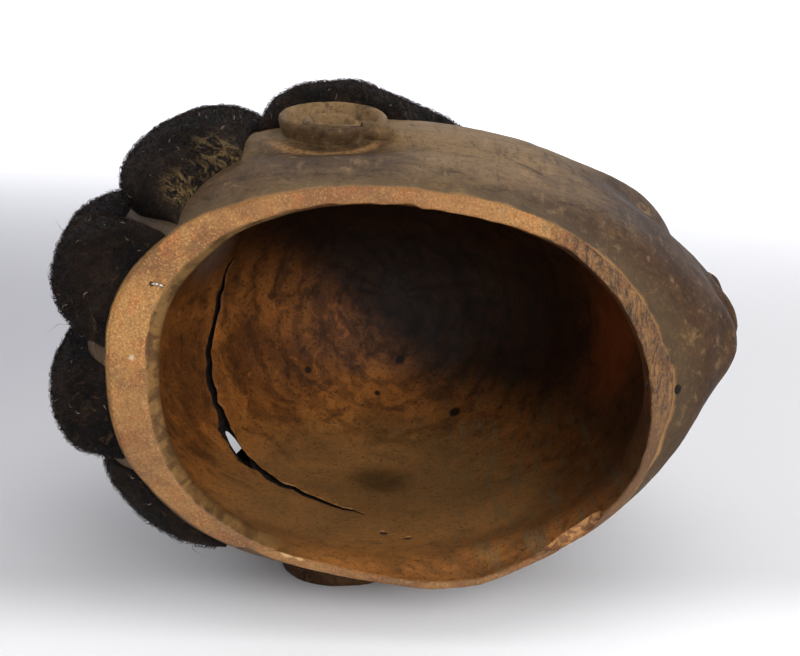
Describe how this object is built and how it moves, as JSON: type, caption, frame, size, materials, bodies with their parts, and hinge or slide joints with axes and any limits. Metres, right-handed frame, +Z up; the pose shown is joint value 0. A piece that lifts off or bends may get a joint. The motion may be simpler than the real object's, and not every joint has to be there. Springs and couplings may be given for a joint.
{
  "type": "carved helmet mask",
  "caption": "Hollow wooden helmet mask with a calm carved face, cup-shaped ears and lobes of dark hair round the back and crown.",
  "frame": {"origin": "middle of the bounding box in plan, at the floor it lies on", "axes": "+Z up as it lies on its left side, +Y from the open neck rim towards the crown, +X towards the face"},
  "size_m": [0.3248, 0.2624, 0.2343],
  "materials": {
    "wood": "hand-carved and smoothed, with a dull patina, an unfinished hollow and a pale worn rim",
    "hair": "short matted dark hair, worn thin and dusty in places"
  },
  "bodies": {
    "root": {"mask_head": "wood", "hair_right_back": "hair", "hair_right_side": "hair", "hair_right_top": "hair", "hair_left_back": "hair", "hair_left_side": "hair", "hair_left_top": "hair"}
  },
  "joints": []
}
